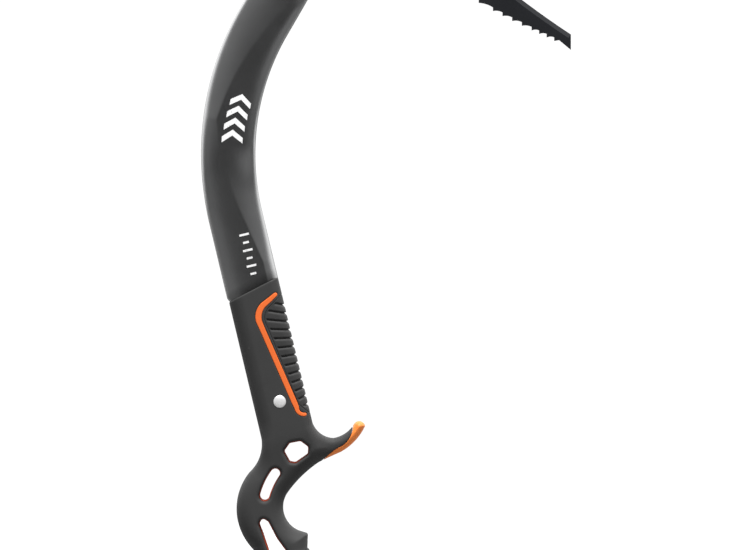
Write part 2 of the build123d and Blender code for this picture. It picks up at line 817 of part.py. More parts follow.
def griprest_screw():
    centre = palm_at(*REST_SCREW)
    seat = -REST_HALF - WASHER_THICKNESS - RUNNING
    head = cross_cylinder(centre, 4.6, seat - 3.0, seat)
    head = fillet(head.faces().sort_by(Axis.Y)[0].edges(), 1.0)
    screw = head + cross_cylinder(centre, REST_SCREW_RADIUS, seat, REST_HALF)
    return screw - cross_hex(centre, 3.0, seat - 3.0, seat - 1.0)


def griprest_washer():
    centre = palm_at(*REST_SCREW)
    low = -REST_HALF - WASHER_THICKNESS - RUNNING
    high = -REST_HALF - RUNNING
    hole = cross_cylinder(centre, REST_SCREW_RADIUS + FIT, low - 1, high + 1)
    return cross_cylinder(centre, 5.2, low, high) - hole


def griprest_nut():
    centre = palm_at(*REST_SCREW)
    nut = cross_hex(centre, NUT_FLATS - 0.1, REST_HALF - NUT_THICKNESS, REST_HALF - 0.2)
    return nut - cross_cylinder(centre, REST_SCREW_RADIUS + RUNNING, 0, 20)


NODES = {
    "shaft_tube": shaft_tube,
    "shaft_end_plug": shaft_end_plug,
    "head_body": head_body,
    "head_pins": head_pins,
    "pick": pick,
    "hammer": hammer,
    "pick_bolt_front": lambda: pick_bolt(BOLT_OUTS["front"]),
    "pick_bolt_rear": lambda: pick_bolt(BOLT_OUTS["rear"]),
    "pick_nut_front": lambda: pick_nut(BOLT_OUTS["front"]),
    "pick_nut_rear": lambda: pick_nut(BOLT_OUTS["rear"]),
    "pick_washers": pick_washers,
    "pick_weight_left": lambda: pick_weight(1),
    "pick_weight_right": lambda: pick_weight(-1),
    "weight_screw": weight_screw,
    "weight_nut": weight_nut,
    "handle_frame": handle_frame,
    "handle_core": handle_core,
    "handle_overmould": handle_overmould,
    "hook_tip": hook_tip,
    "upper_rib_pad": upper_rib_pad,
    "lower_rib_pad": lower_rib_pad,
    "stripe_left": lambda: stripe_volume(1, STRIPE_PROUD),
    "stripe_right": lambda: stripe_volume(-1, STRIPE_PROUD),
    "grip_rivet": grip_rivet,
    "spike": spike,
    "spike_pins": spike_pins,
    "griprest": griprest,
    "griprest_pad": griprest_pad,
    "griprest_screw": griprest_screw,
    "griprest_washer": griprest_washer,
    "griprest_nut": griprest_nut,
}

os.makedirs("parts", exist_ok=True)
for name, make in NODES.items():
    solid = make()
    solid.label = name
    export_step(solid, f"parts/{name}.step")
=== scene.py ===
import math

import bpy
import numpy as np
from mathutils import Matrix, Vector


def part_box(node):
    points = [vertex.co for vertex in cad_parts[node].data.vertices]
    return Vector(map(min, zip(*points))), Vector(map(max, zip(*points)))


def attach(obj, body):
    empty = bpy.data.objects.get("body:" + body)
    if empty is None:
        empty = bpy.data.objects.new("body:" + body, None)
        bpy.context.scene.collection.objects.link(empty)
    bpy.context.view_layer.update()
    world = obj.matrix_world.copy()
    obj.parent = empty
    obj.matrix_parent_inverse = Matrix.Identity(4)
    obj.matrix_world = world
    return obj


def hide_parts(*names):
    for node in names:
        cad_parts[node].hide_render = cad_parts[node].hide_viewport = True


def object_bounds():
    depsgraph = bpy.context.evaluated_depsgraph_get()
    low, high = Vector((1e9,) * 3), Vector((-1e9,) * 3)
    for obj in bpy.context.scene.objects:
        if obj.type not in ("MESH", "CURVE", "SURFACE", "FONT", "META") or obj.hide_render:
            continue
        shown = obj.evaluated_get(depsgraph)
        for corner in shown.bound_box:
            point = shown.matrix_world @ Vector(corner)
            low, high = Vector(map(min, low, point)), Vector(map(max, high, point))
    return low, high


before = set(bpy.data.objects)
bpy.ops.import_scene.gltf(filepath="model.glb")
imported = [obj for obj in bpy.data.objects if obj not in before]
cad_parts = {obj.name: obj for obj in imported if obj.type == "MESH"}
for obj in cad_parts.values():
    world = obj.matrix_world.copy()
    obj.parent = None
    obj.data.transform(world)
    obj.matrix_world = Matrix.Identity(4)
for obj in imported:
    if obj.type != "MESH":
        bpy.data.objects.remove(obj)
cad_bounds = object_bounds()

# Looks of a technical ice axe. Shapes are worked out in millimetres in the row frame's X-Z plane,
# with Y across the tool, and written to Blender in metres.
MM = 0.001

# The shaft line, as the CAD model has it: up the head straight, round the bend, down the grip straight.
HEAD_TILT = math.radians(30.1)
GRIP_TILT = math.radians(13.4)
PALM_TILT = math.radians(32.0)
BEND_RADIUS = 152.0
CLIP_UP, CLIP_OUT = 95.5, 37.0
PALM_ORIGIN = (192.4, -19.0)
TUBE_TOP = 84.0
TUBE_DEPTH = 31.4
TUBE_SHIFT_HEAD = -0.7
TUBE_SHIFT_GRIP = 0.5
SHIFT_STARTS = 80.0
SHIFT_RUN = 100.0
TUBE_WIDTH = 21.0
TUBE_WALL = 1.8
TUBE_IN_GRIP = 60.0
SWAGE_DEPTH = 26.4
SWAGE_STARTS = 44.0
SWAGE_ENDS = 50.0
TUBE_STATIONS = 300
BORE_STRIDE = 12
TUBE_SPOTS = 160

# The creases of the shaft. Places across a side run from -1 at the back edge to 1 at the front edge.
FALLING_POWER = 2.0
FLAT_POWERS = {"back": 3.2, "front": 5.0}
CREASE_TURN = 20.5
CREASE_START = -0.48
CREASE_SLANT = 0.013
CREASE_LIMIT = 0.62
FLANK_FALL = 0.75
FLANK_LEVEL = -0.2
FLANK_LEAD = 0.1
RIDGE_BLEND = 0.22
CREASES_START = (118.0, 96.0)
CREASES_END = (-95.0, -78.0)
BACK_FALLS = (-12.0, 30.0)
FRONT_FALLS = (8.0, -24.0)

# The printed marks: chevrons at the bend and dashes above the grip.
PRINT_LIFT = 0.05
BAR_STEPS = 10
BAR_LANES = (-1.0, -0.33, 0.33, 1.0)
CHEVRONS = 4
CHEVRON_LOW = 9.5
CHEVRON_MIDDLE = 1.4
CHEVRON_LEAN = 0.1
CHEVRON_PITCH = 7.2
CHEVRON_REACH = 6.0
CHEVRON_RISE = 4.4
CHEVRON_BAR = 3.4
DASHES = 6
DASH_TOP = -46.5
DASH_MIDDLE = 2.6
DASH_PITCH = 4.6
DASH_REACHES = (2.8, 1.7)
DASH_BAR = 1.2

# Moulded handle.
GRIP_HALF = 12.4
GRIP_BACK = -14.6
GRIP_FRONT = 16.1
GRIP_TOP = 46.8
GRIP_TOP_SLOPE = 0.2475
PALM_HALF = 12.4
SKIN_IN = 0.4
HOOK_THINNER = 4.0
THROAT_THINNER = 1.6
PALM_THICKER = 0.9
GRIP_CORNER = 5.0
SPINE_ROUNDER = 4.4
THROAT_ROUNDER = 5.0
PALM_ROUNDER = 3.0
HOOK_FLAT = 1.5
VOXEL = 0.5
WINDOW_RIM = 0.6
HOOK_ROUND = 2.8
SKIN_END = 72.0
JOIN = 0.06
RIB_COUNT = 13
RIB_PITCH = 4.87
RIB_FIRST = 55.6
RIB_DEPTH = 1.05
RIB_SHELL = 2.0
RIB_FAN = (26.0, -16.0)
PALM_RIB_COUNT = 11
PALM_RIB_FIRST = 13.0
PALM_RIB_FAN = (-4.0, 8.0)
PALM_FRONT = 14.0
PAD_GAP = 0.02
STRIPE_DEPTH = 0.9
STRIPE_PROUD = 0.22
STRIPE_GAP = 0.08
STRIPE_INNER = 3.0
RIVET = (109.2, 0.8)
RIVET_RECESS = 1.2
RIVET_HEAD = 3.85
RIVET_SHANK = 2.5
RIVET_DOME = 1.35
RIVET_RIM = 0.3
RIVET_SPOTS = 64
DOME_ANGLES = [math.radians(a) for a in (2, 10, 20, 30, 40, 50, 60, 70, 80, 90)]


def turn(angle):
    """Directions along a tilted axis that points up and to +X, and out from it."""
    along = np.array([math.sin(angle), math.cos(angle)])
    out = np.array([math.cos(angle), -math.sin(angle)])
    return along, out


HEAD_UP, HEAD_OUT = turn(HEAD_TILT)
GRIP_DOWN = np.array([math.sin(GRIP_TILT), -math.cos(GRIP_TILT)])
GRIP_FORWARD = np.array([math.cos(GRIP_TILT), math.sin(GRIP_TILT)])
PALM_DOWN = np.array([math.sin(PALM_TILT), -math.cos(PALM_TILT)])
PALM_FORWARD = np.array([math.cos(PALM_TILT), math.sin(PALM_TILT)])


def head_at(up, out):
    """(x, z) at a height up the upper shaft from the bend and a distance out towards the pick."""
    return HEAD_UP * (up - CLIP_UP) + HEAD_OUT * (out - CLIP_OUT)


BEND_CENTRE = head_at(0, BEND_RADIUS)
GRIP_START = BEND_CENTRE - GRIP_FORWARD * BEND_RADIUS


def grip_at(down, forward):
    """(x, z) at a distance down the lower shaft from the bend and forward of its axis."""
    return GRIP_START + GRIP_FORWARD * forward + GRIP_DOWN * down


PALM_START = grip_at(*PALM_ORIGIN)


def palm_at(down, forward):
    """(x, z) along and forward of the lower grip's axis."""
    return PALM_START + PALM_DOWN * down + PALM_FORWARD * forward


def in_axes(x, z, start, along, across):
    """Coordinates of middle-plane points in a tilted frame."""
    dx = x - start[0]
    dz = z - start[1]
    return dx * along[0] + dz * along[1], dx * across[0] + dz * across[1]


# Outlines and distance fields.


def arc_points(start, middle, end, count=24):
    """Points of the circular arc through three points, without its start."""
    (ax, ay), (bx, by), (cx, cy) = start, middle, end
    d = 2 * (ax * (by - cy) + bx * (cy - ay) + cx * (ay - by))
    ux = ((ax**2 + ay**2) * (by - cy) + (bx**2 + by**2) * (cy - ay) + (cx**2 + cy**2) * (ay - by)) / d
    uy = ((ax**2 + ay**2) * (cx - bx) + (bx**2 + by**2) * (ax - cx) + (cx**2 + cy**2) * (bx - ax)) / d
    first = math.atan2(ay - uy, ax - ux)
    between = (math.atan2(by - uy, bx - ux) - first) % math.tau
    sweep = (math.atan2(cy - uy, cx - ux) - first) % math.tau
    if between > sweep:
        sweep -= math.tau
    radius = math.hypot(ax - ux, ay - uy)
    angles = first + sweep * np.arange(1, count + 1) / count
    return [(ux + radius * math.cos(a), uy + radius * math.sin(a)) for a in angles]


def trace(place, start, *steps):
    """(x, z) points of an outline. A step is an end point, or an arc's middle and end points."""
    points = [tuple(start)]
    for step in steps:
        if isinstance(step[0], tuple):
            points += arc_points(points[-1], step[0], step[1])
        else:
            points.append(tuple(step))
    return np.array([place(*point) for point in points])


def rounded(corners, radius, count=7):
    """Closed outline of straight sides whose corners are rounded."""
    points = []
    total = len(corners)
    for number, corner in enumerate(corners):
        before = np.array(corners[number - 1]) - corner
        after = np.array(corners[(number + 1) % total]) - corner
        before = before / np.linalg.norm(before)
        after = after / np.linalg.norm(after)
        half = math.acos(float(np.clip(before @ after, -1, 1))) / 2
        reach = radius / math.tan(half)
        inward = (before + after) / np.linalg.norm(before + after)
        middle = np.array(corner) + inward * radius / math.sin(half)
        start = np.array(corner) + before * reach - middle
        end = np.array(corner) + after * reach - middle
        first = math.atan2(start[1], start[0])
        sweep = (math.atan2(end[1], end[0]) - first + math.pi) % math.tau - math.pi
        for step in range(count):
            angle = first + sweep * step / (count - 1)
            points.append(middle + radius * np.array([math.cos(angle), math.sin(angle)]))
    return np.array(points)


def line_distance(line, x, z):
    """Distance from middle-plane points to an open line of straight runs."""
    best = np.full(x.shape, 1e9)
    for (ax, az), (bx, bz) in zip(line[:-1], line[1:]):
        ex, ez = bx - ax, bz - az
        length = ex * ex + ez * ez
        if length == 0:
            continue
        share = np.clip(((x - ax) * ex + (z - az) * ez) / length, 0, 1)
        best = np.minimum(best, (x - ax - share * ex) ** 2 + (z - az - share * ez) ** 2)
    return np.sqrt(best)


def shape_distance(outline, x, z):
    """Signed distance from middle-plane points to a closed outline, negative inside."""
    closed = np.vstack([outline, outline[:1]])
    inside = np.zeros(x.shape, bool)
    for (ax, az), (bx, bz) in zip(closed[:-1], closed[1:]):
        if az == bz:
            continue
        crosses = ((az > z) != (bz > z)) & (x < (bx - ax) * (z - az) / (bz - az) + ax)
        inside ^= crosses
    distance = line_distance(closed, x, z)
    return np.where(inside, -distance, distance)


def step_up(low, high, value):
    """0 below low, 1 above high, with a smooth rise between."""
    share = np.clip((value - low) / (high - low), 0, 1)
    return share * share * (3 - 2 * share)


def soft_max(a, b, blend):
    """The greater of two fields, rounded where they are about equal."""
    h = np.clip(0.5 + 0.5 * (a - b) / blend, 0, 1)
    return b + (a - b) * h + blend * h * (1 - h)


def soft_min(a, b, blend):
    """The lesser of two fields, rounded where they are about equal."""
    return -soft_max(-a, -b, blend)


# Meshes.


def make_mesh(name, points, faces, body, material, smooth=True):
    """Mesh object from points in millimetres, riding on a body."""
    mesh = bpy.data.meshes.new(name)
    mesh.from_pydata([tuple(p) for p in np.asarray(points) * MM], [], [tuple(f) for f in faces])
    mesh.validate()
    mesh.polygons.foreach_set("use_smooth", [smooth] * len(mesh.polygons))
    mesh.materials.append(material)
    piece = bpy.data.objects.new(name, mesh)
    bpy.context.scene.collection.objects.link(piece)
    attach(piece, body)
    return piece


CUBE = np.array([[i, j, k] for i in (0, 1) for j in (0, 1) for k in (0, 1)])
CUBE_EDGES = [(a, b) for a in range(8) for b in range(a) if np.abs(CUBE[a] - CUBE[b]).sum() == 1]


def sample_grid(values, place):
    """Values of a grid at places in cell units, by straight-line blending."""
    top = np.array(values.shape) - 2
    base = np.clip(np.floor(place).astype(int), 0, top)
    part = place - base
    total = np.zeros(len(place))
    for corner in CUBE:
        weight = np.prod(np.where(corner == 1, part, 1 - part), axis=1)
        index = base + corner
        total += weight * values[index[:, 0], index[:, 1], index[:, 2]]
    return total


def surface_of(values):
    """Points, in cell units, and quads of the zero surface of a grid: one point in each cell it crosses."""
    inside = values < 0
    shape = np.array(values.shape) - 1
    parts = [
        inside[i : shape[0] + i, j : shape[1] + j, k : shape[2] + k].astype(np.int8) for i, j, k in CUBE
    ]
    count = sum(parts)
    cells = np.argwhere((count > 0) & (count < 8))
    corners = np.array([values[tuple((cells + corner).T)] for corner in CUBE])
    total = np.zeros((len(cells), 3))
    hits = np.zeros(len(cells))
    for a, b in CUBE_EDGES:
        cross = (corners[a] < 0) != (corners[b] < 0)
        gap = np.where(cross, corners[a] - corners[b], 1.0)
        share = np.where(cross, corners[a] / gap, 0.0)
        point = CUBE[a] + share[:, None] * (CUBE[b] - CUBE[a])
        total += np.where(cross[:, None], point, 0.0)
        hits += cross
    points = cells + total / hits[:, None]
    number = np.full(tuple(shape), -1, np.int32)
    number[cells[:, 0], cells[:, 1], cells[:, 2]] = np.arange(len(cells))
    quads = []
    for axis in range(3):
        one, two = [other for other in range(3) if other != axis]
        low = [slice(1, None)] * 3
        low[axis] = slice(0, -1)
        high = [slice(1, None)] * 3
        high[axis] = slice(1, None)
        first = inside[tuple(low)]
        last = inside[tuple(high)]
        place = np.argwhere(first != last)
        place[:, one] += 1
        place[:, two] += 1
        keep = (place[:, one] < shape[one]) & (place[:, two] < shape[two])
        place = place[keep]
        rises = inside[place[:, 0], place[:, 1], place[:, 2]]
        ring = []
        for back_one, back_two in ((1, 1), (0, 1), (0, 0), (1, 0)):
            cell = place.copy()
            cell[:, one] -= back_one
            cell[:, two] -= back_two
            ring.append(number[cell[:, 0], cell[:, 1], cell[:, 2]])
        faces = np.array(ring).T
        flip = rises if axis == 1 else ~rises
        faces[flip] = faces[flip][:, ::-1]
        quads.append(faces)
    return points, np.vstack(quads)


def settle(values, points, rounds=3):
    """Moves points onto the zero surface along the field's slope."""
    slopes = np.gradient(values)
    for _ in range(rounds):
        value = sample_grid(values, points)
        slope = np.array([sample_grid(part, points) for part in slopes]).T
        size = np.maximum((slope**2).sum(1), 0.05)
        points = points - np.clip(slope * (value / size)[:, None], -0.5, 0.5)
    return points


def solid_from_field(name, field, low, high, step, body, material):
    """Mesh of the solid where field(x, y, z) is negative; x and z are flat grids and y is a column."""
    axes = [np.arange(low[i], high[i] + step, step) for i in range(3)]
    x, z = np.meshgrid(axes[0], axes[2], indexing="ij")
    values = field(x[:, None, :], axes[1][None, :, None], z[:, None, :])
    values = np.ascontiguousarray(np.broadcast_to(values, tuple(len(a) for a in axes)), np.float32)
    points, quads = surface_of(values)
    points = settle(values, points)
    return make_mesh(name, points * step + np.array([a[0] for a in axes]), quads, body, material)


# Materials: every one is a node tree on the piece's own coordinates.


class Recipe:
    """A material's node tree with short ways to add and join nodes."""

    def __init__(self, name):
        self.material = bpy.data.materials.new(name)
        self.material.use_nodes = True
        self.nodes = self.material.node_tree.nodes
        self.links = self.material.node_tree.links
        self.shader = self.nodes["Principled BSDF"]
        self.place = self.nodes.new("ShaderNodeTexCoord").outputs["Object"]

    def set(self, **values):
        """Sets the shader's own sockets; an underscore in a name stands for a space."""
        for key, value in values.items():
            self.shader.inputs[key.replace("_", " ")].default_value = value
        return self

    def node(self, kind, inputs=None, **settings):
        """Adds a shader node; its inputs are sockets to join or values to set."""
        made = self.nodes.new("ShaderNode" + kind)
        for key, value in settings.items():
            setattr(made, key, value)
        for key, value in (inputs or {}).items():
            socket = made.inputs[key]
            if isinstance(value, bpy.types.NodeSocket):
                self.links.new(value, socket)
            else:
                socket.default_value = value
        return made

    def noise(self, scale, detail=4.0, roughness=0.55, stretch=None):
        place = self.place
        if stretch:
            place = self.node("Mapping", {"Vector": place, "Scale": stretch}).outputs[0]
        made = self.node("TexNoise", {"Vector": place, "Scale": scale, "Detail": detail})
        made.inputs["Roughness"].default_value = roughness
        return made.outputs["Fac"]

    def cells(self, scale):
        made = self.node("TexVoronoi", {"Vector": self.place, "Scale": scale})
        return made.outputs["Distance"]

    def ramp(self, value, *stops):
        """Black-to-white ramp between two stops; each is a place and a grey."""
        made = self.node("ValToRGB", {"Fac": value})
        for element, (place, grey) in zip(made.color_ramp.elements, stops):
            element.position = place
            element.color = (grey, grey, grey, 1.0)
        return made.outputs["Color"]

    def span(self, value, low, high, from_low=0.0, from_high=1.0):
        """Value moved from one range to another, and held inside it."""
        inputs = {"Value": value, 1: from_low, 2: from_high, 3: low, 4: high}
        return self.node("MapRange", inputs).outputs[0]

    def mix(self, share, first, second):
        """Colour between two colours, each a socket or three numbers."""
        made = self.node("Mix", data_type="RGBA")
        for socket, value in ((made.inputs[0], share), (made.inputs[6], first), (made.inputs[7], second)):
            if isinstance(value, bpy.types.NodeSocket):
                self.links.new(value, socket)
            elif isinstance(value, tuple):
                socket.default_value = value + (1.0,)
            else:
                socket.default_value = value
        return made.outputs[2]

    def math(self, operation, *values):
        """One step of arithmetic on sockets and numbers."""
        made = self.node("Math", operation=operation)
        for socket, value in zip(made.inputs, values):
            if isinstance(value, bpy.types.NodeSocket):
                self.links.new(value, socket)
            else:
                socket.default_value = value
        return made.outputs[0]

    def edges(self, low=0.5, high=0.62):
        """Share of wear from how sharply the surface is pointed."""
        point = self.node("NewGeometry").outputs["Pointiness"]
        return self.span(point, 0.0, 1.0, low, high)

    def colour(self, value):
        self.links.new(value, self.shader.inputs["Base Color"])
        return self

    def rough(self, value):
        self.links.new(value, self.shader.inputs["Roughness"])
        return self

    def bump(self, *layers):
        """Stacks bumps; each layer is a height, a strength and a distance in millimetres."""
        normal = None
        for height, strength, distance in layers:
            inputs = {"Height": height, "Strength": strength, "Distance": distance * MM}
            if normal is not None:
                inputs["Normal"] = normal
            normal = self.node("Bump", inputs).outputs[0]
        self.links.new(normal, self.shader.inputs["Normal"])
        return self


def painted_grip_shadow(r):
    """Share of the painted shadow: a dark band just above the grip's slanted top edge."""
    away = -(GRIP_DOWN + GRIP_FORWARD * GRIP_TOP_SLOPE) / math.hypot(1.0, GRIP_TOP_SLOPE)
    start = float(grip_at(GRIP_TOP, GRIP_BACK) @ away)
    parts = r.node("SeparateXYZ", {"Vector": r.place}).outputs
    across = r.math("MULTIPLY", parts["X"], float(away[0]))
    upward = r.math("MULTIPLY", parts["Z"], float(away[1]))
    distance = r.math("SUBTRACT", r.math("ADD", across, upward), start * MM)
    return r.span(distance, 1.0, 0.0, 0.0, 6.0 * MM)


def anodised(name, shade):
    """Satin black anodised tube: faint mottling, very fine blasted grain, a few light scuffs, and a painted
    shadow just above the grip's top edge.
    """
    r = Recipe(name)
    mottling = r.noise(60.0, 5.0)
    grain = r.noise(2600.0, 2.0)
    scuffs = r.noise(90.0, 8.0, 0.7, (1.0, 1.0, 0.12))
    scuff = r.ramp(scuffs, (0.63, 0.0), (0.7, 1.0))
    dark = tuple(c * 0.86 for c in shade)
    base = r.mix(mottling, dark, shade)
    worn = r.mix(r.math("MULTIPLY", scuff, 0.2), base, (0.3, 0.3, 0.303))
    # Painted shadow: near-black mixed into the colour just above the grip's top edge.
    r.colour(r.mix(r.math("MULTIPLY", painted_grip_shadow(r), 0.75), worn, (0.02, 0.02, 0.02)))
    r.rough(r.math("ADD", r.span(mottling, 0.26, 0.32), r.math("MULTIPLY", grain, 0.05)))
    r.bump((grain, 0.05, 0.02), (mottling, 0.02, 0.1))
    return r.set(Metallic=1.0, Coat_Weight=1.0, Coat_Roughness=0.22, Coat_IOR=1.5).material


def soft_touch(name, shade, grain_scale=1500.0, rough=(0.56, 0.7), level=0.16):
    """Soft-touch moulding: fine spark-eroded grain, faint handling shine and dust."""
    r = Recipe(name)
    broad = r.noise(45.0, 4.0)
    grain = r.cells(grain_scale)
    fine = r.noise(grain_scale * 1.7, 2.0)
    worn = r.edges(0.52, 0.6)
    dark = tuple(c * 0.82 for c in shade)
    pale = tuple(min(1.0, c * 1.5 + 0.012) for c in shade)
    base = r.mix(broad, dark, shade)
    r.colour(r.mix(r.math("MULTIPLY", worn, 0.25), base, pale))
    r.rough(r.span(r.math("ADD", r.math("MULTIPLY", broad, 0.6), r.math("MULTIPLY", fine, 0.4)), *rough))
    r.bump((grain, 0.1, 0.06), (fine, 0.06, 0.03))
    return r.set(Specular_IOR_Level=level).material


def black_steel(name, shade, rough=(0.34, 0.5), metallic=0.75, rubbed=0.3):
    """Phosphated forged steel: dark, faintly cloudy, brighter where edges are rubbed."""
    r = Recipe(name)
    clouds = r.noise(70.0, 6.0)
    grain = r.noise(1300.0, 3.0)
    scratches = r.noise(160.0, 8.0, 0.75, (0.3, 1.0, 0.08))
    line = r.ramp(scratches, (0.66, 0.0), (0.72, 1.0))
    worn = r.edges(0.53, 0.62)
    base = r.mix(clouds, tuple(c * 0.75 for c in shade), shade)
    base = r.mix(r.math("MULTIPLY", line, 0.3), base, (0.16, 0.16, 0.165))
    r.colour(r.mix(r.math("MULTIPLY", worn, rubbed), base, (0.3, 0.3, 0.31)))
    r.rough(r.span(clouds, *rough))
    r.bump((grain, 0.08, 0.03), (clouds, 0.05, 0.1))
    return r.set(Metallic=metallic, Specular_IOR_Level=0.4).material


def bright_metal(name, shade, rough=(0.16, 0.3), metallic=1.0):
    """Plated or ground metal with fine turning marks."""
    r = Recipe(name)
    clouds = r.noise(220.0, 5.0)
    lines = r.noise(900.0, 4.0, 0.6, (1.0, 0.15, 1.0))
    r.colour(r.mix(clouds, tuple(c * 0.8 for c in shade), shade))
    r.rough(r.span(r.math("ADD", r.math("MULTIPLY", clouds, 0.6), r.math("MULTIPLY", lines, 0.4)), *rough))
    r.bump((lines, 0.05, 0.02))
    return r.set(Metallic=metallic).material


def ink(name):
    """White pad-printed mark, slightly broken by the grain under it."""
    r = Recipe(name)
    grain = r.noise(900.0, 3.0)
    r.colour(r.mix(r.ramp(grain, (0.3, 0.0), (0.42, 1.0)), (0.55, 0.55, 0.55), (0.86, 0.86, 0.86)))
    r.rough(r.span(grain, 0.45, 0.6))
    r.bump((grain, 0.05, 0.02))
    return r.material


SHAFT = anodised("shaft_anodised", (0.2, 0.202, 0.204))
SKIN = soft_touch("grip_soft_touch", (0.047, 0.047, 0.047))
RIBS = soft_touch("rib_soft_touch", (0.044, 0.044, 0.044))
ORANGE = soft_touch("orange_soft_touch", (0.9, 0.17, 0.032), 1500.0, (0.42, 0.55), 0.35)
# Painted light: the hook tip's orange is a brighter copy of the stripes' orange, lifting the tip's shaded
# underside.
PAINTED_LIGHT_TIP_ORANGE = soft_touch("tip_soft_touch_painted_light", (1.0, 0.27, 0.05), 1500.0, (0.42, 0.55), 0.35)
CORE = soft_touch("orange_core", (0.45, 0.06, 0.02), 900.0, (0.5, 0.62), 0.25)
PICK = black_steel("pick_steel_black", (0.009, 0.01, 0.013), (0.4, 0.55), 0.2, 0.0)
HEAD = black_steel("head_steel_black", (0.05, 0.05, 0.053))
PLATED = bright_metal("plated_steel", (0.55, 0.55, 0.56))
POLISHED = bright_metal("polished_rivet", (0.95, 0.95, 0.95), (0.4, 0.5), 0.5)
ALLOY = bright_metal("machined_alloy", (0.62, 0.62, 0.63), (0.25, 0.4))
INK = ink("printed_white")


# Shaft: an oval tube whose sides carry two long creases that meet at the inside of the bend.


def shaft_station(along):
    """Centre, forward direction and depth at a distance up the shaft from its foremost point."""
    top = HEAD_TILT * BEND_RADIUS
    bottom = -GRIP_TILT * BEND_RADIUS
    if along > top:
        start, forward = head_at(along - top, 0), HEAD_OUT
    elif along < bottom:
        start, forward = grip_at(bottom - along, 0), GRIP_FORWARD
    else:
        forward = turn(along / BEND_RADIUS)[1]
        start = BEND_CENTRE - forward * BEND_RADIUS
    share = min(max((SHIFT_STARTS - along) / SHIFT_RUN, 0), 1)
    shift = TUBE_SHIFT_HEAD + (TUBE_SHIFT_GRIP - TUBE_SHIFT_HEAD) * share
    swage = float(step_up(bottom - SWAGE_STARTS, bottom - SWAGE_ENDS, along))
    depth = TUBE_DEPTH - (TUBE_DEPTH - SWAGE_DEPTH) * swage
    return start + forward * shift, forward, depth


def crease_place(along):
    """How far forward the shaft's crease lies, from -1 at the back edge to 1 at the front."""
    return min(CREASE_START + CREASE_SLANT * abs(along - CREASE_TURN), CREASE_LIMIT)


def flank(place, centre, power):
    """Height of a flank that is level at its centre and falls to nothing at the edge, at 1."""
    reach = np.clip((place - centre) / (1 - centre), 0, 1)
    return (1 - reach**power) ** (1 / power)


def side_height(forward, along):
    """Half the shaft's width at places from -1 at its back edge to 1 at its front edge.

    Each side is two flanks that meet in a soft ridge. Above the bend the back flank falls away
    from the ridge and the front flank lies flat; below it they change places.
    """
    crease = crease_place(along)
    fade = float(step_up(*CREASES_START, along) * step_up(*CREASES_END, along))
    falls = {"back": float(step_up(*BACK_FALLS, along)), "front": float(step_up(*FRONT_FALLS, along))}
    heights = {}
    for name, sign in (("back", -1), ("front", 1)):
        ridge = sign * crease
        place = sign * forward
        flat = flank(place, max(FLANK_LEVEL, ridge - FLANK_LEAD), FLAT_POWERS[name])
        start = ridge - FLANK_FALL
        falling = flank(place, start, FALLING_POWER) / flank(ridge, start, FALLING_POWER)
        shaped = flat + (falling - flat) * falls[name]
        plain = flank(place, 0.0, FALLING_POWER)
        heights[name] = TUBE_WIDTH / 2 * (plain + (shaped - plain) * fade)
    return soft_min(heights["back"], heights["front"], RIDGE_BLEND)


def shaft_point(along, forward, side, lift=0.0):
    """Point on the shaft's surface: forward from -1 to 1, side -1 or 1, lifted off it a little."""
    centre, direction, depth = shaft_station(along)
    out = forward * depth / 2
    height = float(side_height(np.array(forward), along)) + lift
    return centre[0] + direction[0] * out, side * height, centre[1] + direction[1] * out


def shaft_ring(along, shrink, count):
    """Ring of points round the shaft, all moved in by the shrink."""
    centre, direction, depth = shaft_station(along)
    angles = np.arange(count) * math.tau / count
    forward = np.cos(angles)
    height = side_height(forward, along) * np.sign(np.sin(angles))
    height[np.abs(np.sin(angles)) < 1e-6] = 0.0
    out = forward * (depth / 2 - shrink)
    points = np.zeros((count, 3))
    points[:, 0] = centre[0] + direction[0] * out
    points[:, 1] = -height * (1 - 2 * shrink / TUBE_WIDTH)
    points[:, 2] = centre[1] + direction[1] * out
    return points


def shaft_tube():
    """Whole tube, wall and all, from the head's shoulder to inside the grip."""
    top = HEAD_TILT * BEND_RADIUS + TUBE_TOP
    bottom = -GRIP_TILT * BEND_RADIUS - TUBE_IN_GRIP
    stations = np.linspace(top, bottom, TUBE_STATIONS)
    count = TUBE_SPOTS
    rings = [shaft_ring(a, 0.0, count) for a in stations]
    rings += [shaft_ring(a, TUBE_WALL, count) for a in stations[::-BORE_STRIDE]]
    rings.append(shaft_ring(top, TUBE_WALL, count))
    total = len(rings)
    faces = []
    for ring in range(total):
        following = (ring + 1) % total
        for spot in range(count):
            after = (spot + 1) % count
            here = (ring * count + spot, ring * count + after)
            faces.append((*here, following * count + after, following * count + spot))
    piece = make_mesh("shaft_skin", np.vstack(rings), faces, "handle", SHAFT)
    piece.data.set_sharp_from_angle(angle=math.radians(50))
    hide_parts("shaft_tube")


def printed_bars(name, bars, side):
    """Plain bars printed on the shaft. A bar is a line of (along, forward) places and its height."""
    points = []
    faces = []
    for line, height in bars:
        line = np.array(line)
        for start, end in zip(line, line[1:]):
            first = len(points)
            for step in range(BAR_STEPS + 1):
                along, out = start + (end - start) * step / BAR_STEPS
                for share in BAR_LANES:
                    place = along + height * share / 2
                    reach = out / (shaft_station(place)[2] / 2)
                    points.append(shaft_point(place, reach, side, PRINT_LIFT))
            for step in range(BAR_STEPS):
                for lane in range(len(BAR_LANES) - 1):
                    corner = first + step * len(BAR_LANES) + lane
                    above = corner + len(BAR_LANES)
                    quad = (corner, corner + 1, above + 1, above)
                    faces.append(quad if side < 0 else quad[::-1])
    piece = make_mesh(name, points, faces, "handle", INK, smooth=False)
    thick = piece.modifiers.new("thick", "SOLIDIFY")
    thick.thickness = PRINT_LIFT * MM
    thick.offset = -1.0


